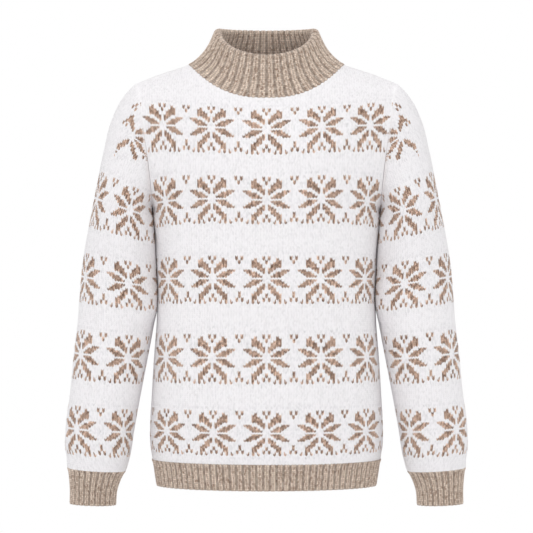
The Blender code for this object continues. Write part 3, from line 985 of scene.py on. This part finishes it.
class Sleeve:
    """The right sleeve, or the left one before it is mirrored: where each stitch lies on its form."""

    def __init__(self, creases):
        self.form = sleeve_form()
        self.creases = creases
        stations = self.form.levels
        cap = stations < SLEEVE_ARMPIT_STATION
        angle = np.where(cap, armhole_angles(np.where(cap, stations, SLEEVE_ARMPIT_STATION)), math.pi)
        self.edge_along = self.form.along_of(angle, stations)
        last = SLEEVE_ROWS["v"][-1]
        v = np.arange((SLEEVE_COURSES + 1) * QUARTERS + 1) / QUARTERS
        self.rows = smooth(SLEEVE_ROWS, "station", np.minimum(v, last))
        climb = np.linspace(SLEEVE_ROWS["station"][-1], SLEEVE_SHOULDER_STATION, CAP_TOP_POINTS)
        length = lengths_along(self.form.at(np.zeros(len(climb)), climb))
        way = (v[v > last] - last) * COURSE_HEIGHT
        self.rows[v > last] = np.interp(way, length, climb) - np.maximum(way - length[-1], 0)

    def edge(self, station):
        return np.interp(station, self.form.levels, self.edge_along)

    def place(self, u, v):
        station = self.rows[quarter(v, len(self.rows))]
        along = smooth(SLEEVE_COLUMNS, "star_along", station) + u * smooth(SLEEVE_COLUMNS, "width", station)
        sag = smooth(SLEEVE_ROWS, "sag", np.minimum(v, SLEEVE_ROWS["v"][-1]))
        station = station + sag * np.minimum(np.abs(along) / self.form.half_girth(station), 1) ** 2
        x, _, z = self.form.at(along, station).T
        beyond_armhole = x - smooth(ARMHOLE, "half_width", -z)
        share = rise(station, *CAP_TOP_STATIONS)
        inside = beyond_armhole * (1 - share) + (self.edge(station) - np.abs(along)) * share
        return along, station, np.minimum(inside, station - SLEEVE_SHOULDER_STATION)

    def relief(self, along, station):
        side = self.edge(station) - np.abs(along)
        down = -self.form.at(along, station)[:, 2]
        height, shade = seam_line(side, down, SLEEVE_PRESS)
        calm = rise(side, 0, SIDE_REACH)
        return height + calm * (waves(along, station) - creased(self.creases, along, station)), shade


def knit_panel(name, cloth, pattern, material, mirror=False):
    """A flat-knitted piece as a closed shell: stitches outside and a plain coarse layer inside."""
    rng = np.random.default_rng(SEED + len(name))
    columns, courses = pattern.ground.shape
    uv, corners, faces, stitch = lattice(columns, courses, LEAN, straight_top=False)
    u = uv[:, 0] + pattern.first_column - 0.5
    along, level, inside = cloth.place(u, uv[:, 1])
    height = np.where(np.arange(len(uv)) < corners, -LEG_SINK, LEG_RISE)
    places = np.stack([along, level, u, uv[:, 1], height, inside], axis=-1)
    places, faces, stitch = trim(places, inside, faces, stitch)
    used, faces = np.unique(faces, return_inverse=True)
    faces = faces.reshape(-1, 3)
    is_corner = (used < corners) | (used >= len(uv))
    along, level, u, v, height, inside = places[used].T
    # shade is painted shade near the seams, kept on each vertex for the material.
    stand, shade = cloth.relief(along, level)
    height = height * rise(inside, 0, EDGE_CALM) + stand
    points = cloth.form.at(along, level) + cloth.form.normals(along, level) * height[:, None]
    flat = np.stack([along, -level], axis=-1)
    parts, inner_faces, inner_flat = len(points), [], []
    for loop in open_loops(faces):
        fresh, triangles = lining(np.array(loop), flat)
        names = np.concatenate([loop, parts + np.arange(len(fresh))]).astype(int)
        inner_faces.append(names[triangles][:, ::-1])
        inner_flat.append(fresh)
        parts += len(fresh)
    along, level = np.concatenate(inner_flat).T * [[1], [-1]]
    inner = cloth.form.at(along, level) - cloth.form.normals(along, level) * SHELL
    inner_uv = np.stack([along / BODY_STITCH, (BODY_LENGTH - level) / COURSE_HEIGHT], axis=-1)
    tone = rng.normal(0, 1, (columns, courses, 2))
    c, r, leg = stitch.T
    all_faces = np.concatenate([faces, *inner_faces])
    outside = {
        "brown": pattern.brown[c, r, leg],
        "ground": pattern.ground[c, r],
        "float": pattern.floats[c, r, leg],
        "tone": tone[c, r, leg],
    }
    piece = make_piece(
        name,
        np.concatenate([points, inner]),
        all_faces[:, ::-1] if cloth.form.turn < 0 else all_faces,
        np.concatenate([np.stack([u, v], axis=-1), inner_uv]),
        filled(is_corner, len(points) + len(inner)).astype(bool),
        {key: filled(values, len(all_faces)) for key, values in outside.items()},
        material,
        mirror=mirror,
        shade=filled(shade, len(points) + len(inner)),
    )
    return piece


def filled(values, count, value=0.0):
    """The values with as many of another one after them as make the count."""
    return np.concatenate([values, np.full(count - len(values), value)])


def body_piece(side, material):
    pattern = Pattern(-(BODY_STITCHES // 2), BODY_STITCHES, BODY_COURSES, BODY_BANDS, BODY_HALF_REPEATS)
    return knit_panel(f"{side}_knit", Panel(side), pattern, material)


def sleeve_piece(name, material, mirror):
    columns = SLEEVE_LAST_COLUMN - SLEEVE_FIRST_COLUMN + 1
    pattern = Pattern(SLEEVE_FIRST_COLUMN, columns, SLEEVE_COURSES, SLEEVE_BANDS, SLEEVE_HALF_REPEATS)
    for middle, hand in CAP_STARS:
        cells = snowflake_cells(skip_side=hand) + [(hand * column, *rest) for column, *rest in CAP_DOTS]
        for column, row in CAP_TRIPLES:
            cells += moved(triple_cells(-1), hand * column, row)
        pattern.colour(cells, middle, CAP_BAND)
        pattern.whiten(*sorted(middle + hand * column for column in CAP_GROUND), CAP_BAND)
    cloth = Sleeve(LEFT_SLEEVE_CREASES if mirror else RIGHT_SLEEVE_CREASES)
    return knit_panel(name, cloth, pattern, material, mirror)


def rib_height(phase):
    """The height of a rib across one repeat: a raised pair of wales with a line between them."""
    raised = RIB_RAISE * rise(np.minimum(phase, 1 - phase), RIB_TOP_FROM, RIB_TOP_FROM + RIB_TOP_RISE)
    return raised - WALE_DIP * bell(phase - 0.5, WALE_DIP_WIDTH) - RIB_SINK


class RibSection:
    """The path of a rib's courses: along its outside to its edge, round it, and back along its inside."""

    def __init__(self, wall, length, base=None):
        """Its thickness at the edge, the outside's length and its thickness where it starts."""
        self.wall = wall
        self.base = base or wall
        self.length = length
        self.straight = length - wall / 2
        self.round = math.pi * wall / 2
        self.total = 2 * self.straight + self.round
        self.courses = int(round(self.total / RIB_COURSE))

    def at(self, v):
        """The share of the way from start to edge, the offset along the normal, and how far the outside there
        faces along the normal and towards the edge."""
        way = v / self.courses * self.total
        radius = self.wall / 2
        turn = np.clip((way - self.straight) / radius, 0, math.pi)
        back = np.clip(way - self.straight - self.round, 0, None)
        share = (np.minimum(way, self.straight) + radius * np.sin(turn) - back) / self.length
        thick = (self.base + (self.wall - self.base) * rise(share, 0, EDGE_FROM)) / self.wall
        return share, radius * (np.cos(turn) - 1) * thick, np.cos(turn), np.sin(turn)


def knit_rib(name, ribs, section, surface, material, closed, mirror=False, turned=1):
    """A ribbed piece as a closed shell. surface(turn, share) gives points, outward normals and edgeward
    tangents, where turn counts ribs round the piece."""
    rng = np.random.default_rng(SEED + len(name) + ribs)
    is_purl = np.tile(WALE_IS_PURL, ribs)
    uv, corners, faces, stitch = lattice(WALES * ribs, section.courses, RIB_LEAN, is_purl)
    whole, wale = np.divmod(uv[:, 0], WALES)
    turn = whole + np.interp(wale, np.arange(WALES + 1), WALE_EDGES)
    share, offset, out, edgeward = section.at(uv[:, 1])
    near = np.where(uv[:, 1] < section.courses / 2, 1 - rise(share * section.length, 0, TOOTH_FADE), 0)
    tooth = TOOTH / section.length * near * np.sin(2 * math.pi * turn) ** 2
    points, normals, tangents = surface(turn, share - tooth)
    raised = rib_height(turn % 1.0) * (1 - EDGE_FLAT * rise(share, EDGE_FROM, 1)) + TOOTH_LIFT * near
    apex = np.arange(len(uv)) >= corners
    purl = apex & (wale % 1 == 0.5)
    lift = raised + np.where(apex, np.where(purl, PURL_RISE, LEG_RISE), -LEG_SINK / 2)
    away = normals * out[:, None] + tangents * edgeward[:, None]
    points = points + normals * offset[:, None] + away * lift[:, None]
    used, faces, stitch = clean(points, faces, stitch)
    knit, turn = uv[used], turn[used]
    all_faces = np.concatenate([faces, close_rib(open_loops(faces), knit[:, 1], turn, ribs, closed)])
    tone = rng.normal(0, 1, (WALES * ribs, section.courses, 2))
    c, r, leg = stitch.T
    colours = {
        "tone": filled(tone[c, r, leg], len(all_faces)),
        "purl": filled(is_purl[c], len(all_faces), 1.0),
    }
    if turned < 0:
        all_faces = all_faces[:, ::-1]
    return make_piece(name, points[used], all_faces, knit, used < corners, colours, material, mirror)


def close_rib(loops, v, turn, ribs, closed):
    """Triangles that join a ribbed piece's first and last courses, and shut its two ends if it has ends."""

    def row(vertices):
        return sorted((turn[i], i) for i in vertices)

    if closed:
        first, last = (row(loop) for loop in sorted(loops, key=lambda loop: v[loop].mean()))
        return np.array(strip(first + [(ribs, first[0][1])], last + [(ribs, last[0][1])]))
    (loop,) = loops
    first = row(i for i in loop if v[i] < END_ROWS)
    last = row(i for i in loop if v[i] > v.max() - END_ROWS)
    faces = strip(first, last)
    for end, way in ((0, 1), (ribs, -1)):
        left = sorted((i for i in loop if abs(turn[i] - end) < TINY), key=lambda i: v[i])
        while len(left) > 2:
            faces.append((left[0], left[1], left[-1])[::way])
            del left[0]
            if len(left) > 2:
                faces.append((left[0], left[-2], left[-1])[::way])
                del left[-1]
    return np.array(faces)


def strip(low, high):
    """Triangles between two rows of (turn, vertex) that are sorted by turn."""
    faces = []
    a = b = 0
    while a + 1 < len(low) or b + 1 < len(high):
        if b + 1 == len(high) or (a + 1 < len(low) and low[a + 1][0] <= high[b + 1][0]):
            faces.append((low[a + 1][1], low[a][1], high[b][1]))
            a += 1
        else:
            faces.append((low[a][1], high[b][1], high[b + 1][1]))
            b += 1
    return faces


def rib_on_form(name, form, first, last, ribs, material, closed, mirror=False):
    """A ribbed piece between two levels of a form. The ribs of one with ends run from left to right, and
    those of a closed one from the inner line round by the front."""
    length = last - first

    def surface(turn, share):
        level = first + length * share
        way = turn / ribs
        along = (1 - 2 * (way % 1.0) if closed else 2 * way - 1) * form.half_girth(level)
        normals = form.normals(along, level)
        tangents = unit(form.at(along, level + 1) - form.at(along, level - 1))
        return form.at(along, level) - normals * (CUFF_SINK if closed else 0), normals, tangents

    turned = form.turn if closed else -form.turn
    piece = knit_rib(name, ribs, RibSection(RIB_WALL, length), surface, material, closed, mirror, turned)
    2 * form.half_girth(first) * MM
    return piece


def hem_piece(side, material):
    name, last = f"hem_knit_{side}", HEM_BOTTOM - HEM_TRIM
    return rib_on_form(name, body_form(side), BODY_LENGTH, last, HEM_RIBS_PER_HALF, material, False)


def cuff_piece(name, material, mirror):
    last = CUFF_END_STATION - CUFF_TRIM
    return rib_on_form(name, sleeve_form(), SLEEVE_END_STATION, last, CUFF_RIBS, material, True, mirror)


def collar_point(turn, share, bodies):
    """A point of the collar's outside: turn counts its ribs from the left side round by the front."""
    angle = 2 * math.pi * turn / COLLAR_RIBS - math.pi / 2
    sine, cosine = np.sin(angle), np.cos(angle)
    front = cosine >= 0
    x = NECK_HALF_WIDTH * sine
    down = neck_down(x, np.where(front, NECK_FRONT_DROP, NECK_BACK_DROP))
    y = np.empty(len(turn))
    for side, chosen, facing in (("front", front, -1), ("back", ~front, 1)):
        form = bodies[side]
        depth = np.interp(down[chosen], form.levels, np.abs(form.cosine_axis[:, 1]))
        half_width = form.half_width(down[chosen])
        y[chosen] = facing * depth * np.sqrt(np.maximum(1 - (x[chosen] / half_width) ** 2, 0))
    rim_x = COLLAR_RIM_HALF_WIDTH * sine
    rim_y = -np.where(front, COLLAR_RIM_FRONT, COLLAR_RIM_BACK) * cosine
    dip = COLLAR_FRONT_DIP * (cosine + np.sqrt(cosine**2 + COLLAR_DIP_ROUNDING**2)) / 2
    height = COLLAR_RISE + COLLAR_TOP - dip - COLLAR_BACK_DIP * np.maximum(-cosine, 0)
    flare = np.clip(1 - share, 0, None) ** COLLAR_FLARE_POWER
    straightened = COLLAR_STRAIGHTENED * rise(share, *COLLAR_STRAIGHTENS)
    bulge = COLLAR_BULGE * (rise(share, *COLLAR_BULGES) - straightened)
    return columns_of(
        rim_x + (x - rim_x) * flare + bulge * sine,
        rim_y + (y - rim_y) * flare - bulge * cosine / 2,
        -down + (height + down) * share,
    )


def collar_piece(material):
    bodies = {side: body_form(side) for side in ("front", "back")}
    section = RibSection(COLLAR_ROLL, COLLAR_LENGTH, COLLAR_WALL)

    def surface(turn, share):
        above, below = (collar_point(turn, share + step, bodies) for step in (SHARE_STEP, -SHARE_STEP))
        right, left = (collar_point(turn + step, share, bodies) for step in (TURN_STEP, -TURN_STEP))
        upward = unit(above - below)
        return collar_point(turn, share, bodies), unit(np.cross(right - left, upward)), upward

    piece = knit_rib("collar_knit", COLLAR_RIBS, section, surface, material, True)
    return piece


class Nodes:
    """A material's node tree with short calls to add to it."""

    def __init__(self, name, surface):
        self.material = bpy.data.materials.new(name)
        self.material.use_nodes = True
        self.tree = self.material.node_tree
        self.shader = self.tree.nodes["Principled BSDF"]
        for key, value in surface.items():
            self.fill(self.shader, key, value)

    def fill(self, node, key, value):
        if isinstance(value, bpy.types.NodeSocket):
            self.tree.links.new(value, node.inputs[key])
        else:
            node.inputs[key].default_value = value

    def add(self, kind, inputs, **settings):
        """A new node's outputs."""
        node = self.tree.nodes.new("ShaderNode" + kind)
        for name, value in settings.items():
            setattr(node, name, value)
        for key, value in inputs.items():
            self.fill(node, key, value)
        return node.outputs

    def math(self, operation, *values):
        return self.add("Math", dict(enumerate(values)), operation=operation)[0]

    def times(self, first, second):
        return self.math("MULTIPLY", first, second)

    def scaled(self, value, factor, offset):
        return self.math("MULTIPLY_ADD", value, factor, offset)

    def attribute(self, name, output="Fac"):
        return self.add("Attribute", {}, attribute_name=name)[output]

    def mix(self, factor, first, second):
        first, second = ((*c, 1.0) if isinstance(c, (list, tuple)) else c for c in (first, second))
        return self.add("Mix", {"Factor": factor, 6: first, 7: second}, data_type="RGBA")[2]


def yarn(nodes, lean):
    """The way along a stitch's leg, the way across it, and a noise that is drawn out along the yarn."""
    u, v, _ = nodes.add("SeparateXYZ", {0: nodes.attribute("knit", "Vector")})
    out = nodes.math("ABSOLUTE", nodes.math("SUBTRACT", nodes.math("FRACT", u), 0.5))
    climb = nodes.math("SUBTRACT", v, nodes.times(out, 2 * lean))
    stretched = {key: nodes.times(value, by) for key, value, by in zip((0, 1), (u, climb), FIBRE_STRETCH)}
    vector = nodes.add("CombineXYZ", stretched)[0]
    fibre = nodes.add("TexNoise", {"Scale": FIBRE_SCALE, "Vector": vector})["Fac"]
    return nodes.times(out, 2.0), nodes.math("FRACT", climb), fibre


def strand_shade(nodes, along, across, edges, wales):
    """Painted shade on the yarn: 1 on its crown, and darker where two strands meet and towards the line
    between two wales.
    """
    middle = nodes.times(nodes.math("ABSOLUTE", nodes.math("SUBTRACT", across, 0.5)), 2.0)
    edge = nodes.math("SUBTRACT", 1.0, nodes.times(nodes.math("POWER", middle, 2.0), edges))
    wale = nodes.math("SUBTRACT", 1.0, nodes.times(nodes.math("POWER", along, 4.0), wales))
    return nodes.times(edge, wale)


def marl(nodes, tone, fibre, tone_share, fibre_share, dark, light):
    lighter = nodes.math("ADD", nodes.times(tone, tone_share), nodes.scaled(fibre, *fibre_share))
    return nodes.mix(lighter, dark, light)


def finished(nodes, colour, light, fibre):
    """The material, its colour darkened to a share of light, which holds painted shade, with the yarn's
    fibres raised.
    """
    nodes.fill(nodes.shader, "Base Color", nodes.mix(light, BLACK, colour))
    bump = nodes.add("Bump", {"Distance": FIBRE_HEIGHT, "Strength": FIBRE_STRENGTH, "Height": fibre})
    nodes.fill(nodes.shader, "Normal", bump["Normal"])
    return nodes.material


def ivory_material():
    nodes = Nodes("ivory_wool", WOOL_SURFACE)
    along, across, fibre = yarn(nodes, LEAN)
    tone, is_brown, ground, shade = map(nodes.attribute, ("tone", "brown", "ground", "shade"))
    plain = nodes.mix(nodes.times(nodes.attribute("float"), FLOAT_SHARE), IVORY, FLOAT_GREY)
    # Painted shade: near the seams the ivory turns towards SEAM_SHADE and the brown towards BROWN_DARK.
    plain = nodes.mix(nodes.times(shade, SEAM_SHADE_SHARE), plain, SEAM_SHADE)
    brown = marl(nodes, tone, fibre, TONE_IN_BROWN, FIBRE_IN_BROWN, BROWN_DARK, BROWN_LIGHT)
    # Painted shade on the brown near the seams.
    brown = nodes.mix(nodes.times(shade, SEAM_SHADE_IN_BROWN), brown, BROWN_DARK)
    edges, wales = nodes.scaled(is_brown, *IVORY_EDGE_SHADE), nodes.scaled(is_brown, *IVORY_WALE_SHADE)
    vary = nodes.times(tone, nodes.scaled(ground, *TONE_IN_IVORY))
    speckle = nodes.math("ADD", nodes.scaled(fibre, *FIBRE_IN_IVORY), vary)
    # Painted shade where strands meet and along the wale lines, times a random speckle.
    light = nodes.times(strand_shade(nodes, along, across, edges, wales), speckle)
    return finished(nodes, nodes.mix(is_brown, plain, brown), light, fibre)


def taupe_material():
    nodes = Nodes("taupe_marl_wool", WOOL_SURFACE)
    along, across, fibre = yarn(nodes, RIB_LEAN)
    tone, purl = map(nodes.attribute, ("tone", "purl"))
    colour = marl(nodes, tone, fibre, TONE_IN_TAUPE, FIBRE_IN_TAUPE, TAUPE_DARK, TAUPE_LIGHT)
    # Painted shade in the purl gutters and where strands meet.
    gutter_shade = nodes.math("SUBTRACT", 1.0, nodes.times(purl, PURL_SHADE))
    light = nodes.times(strand_shade(nodes, along, across, TAUPE_EDGE_SHADE, TAUPE_WALE_SHADE), gutter_shade)
    return finished(nodes, colour, light, fibre)


def add_object(name, data, place, rotation):
    thing = bpy.data.objects.new(name, data)
    thing.location = place
    thing.rotation_euler = rotation
    bpy.context.scene.collection.objects.link(thing)
    return thing


def add_camera():
    """A level camera far in front, and a frame that is shifted down."""
    data = bpy.data.cameras.new("camera")
    data.sensor_width = SENSOR_WIDTH
    data.lens = data.sensor_width * CAMERA_DISTANCE / FRAME_WIDTH
    data.shift_y = (FRAME_CENTRE_ROW - FRAME_PIXELS / 2) / FRAME_PIXELS
    data.clip_end = VIEW_ENDS
    place = (0, -CAMERA_DISTANCE, -CAMERA_DOWN)
    bpy.context.scene.camera = add_object("camera", data, place, (math.pi / 2, 0, 0))


def add_light(name, place, power):
    data = bpy.data.lights.new(name, "AREA")
    data.shape = "DISK"
    data.size = LIGHT_SIZE
    data.energy = power
    x, y, z = np.array(AIM) - np.array(place)
    add_object(name, data, place, (math.atan2(math.hypot(x, y), -z), 0, math.atan2(y, x) - math.pi / 2))


def add_studio():
    """A white surround, a pale floor under the garment and two large soft lights."""
    world = bpy.data.worlds.new("studio")
    world.use_nodes = True
    nodes, links = world.node_tree.nodes, world.node_tree.links
    soft, white = nodes["Background"], nodes.new("ShaderNodeBackground")
    soft.inputs["Strength"].default_value = AMBIENT
    mix = nodes.new("ShaderNodeMixShader")
    for background, slot in ((soft, 1), (white, 2)):
        background.inputs["Color"].default_value = (1, 1, 1, 1)
        links.new(background.outputs[0], mix.inputs[slot])
    links.new(nodes.new("ShaderNodeLightPath").outputs["Is Camera Ray"], mix.inputs[0])
    links.new(mix.outputs[0], nodes["World Output"].inputs[0])
    bpy.context.scene.world = world
    add_light("key", KEY_PLACE, KEY_POWER)
    add_light("fill", FILL_PLACE, FILL_POWER)
    add_disc = bpy.ops.mesh.primitive_circle_add
    add_disc(vertices=FLOOR_SIDES, radius=FLOOR_RADIUS, fill_type="NGON", location=(0, 0, FLOOR_Z))
    floor = bpy.context.object
    floor.name = "floor"
    floor.data.materials.append(Nodes("pale_floor", FLOOR_SURFACE).material)


def declare(piece, node):
    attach(piece, "root")
    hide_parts(node)


def main():
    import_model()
    bpy.context.scene.view_settings.view_transform = "Standard"
    bpy.context.scene.cycles.diffuse_bounces = DIFFUSE_BOUNCES
    add_camera()
    add_studio()
    ivory, taupe = ivory_material(), taupe_material()
    for side in ("front", "back"):
        declare(body_piece(side, ivory), side)
        declare(hem_piece(side, taupe), f"hem_rib_{side}")
    for hand, mirror in (("right", False), ("left", True)):
        declare(sleeve_piece(f"sleeve_knit_{hand}", ivory, mirror), f"sleeve_{hand}")
        declare(cuff_piece(f"cuff_knit_{hand}", taupe, mirror), f"cuff_{hand}")
    declare(collar_piece(taupe), "collar")


main()
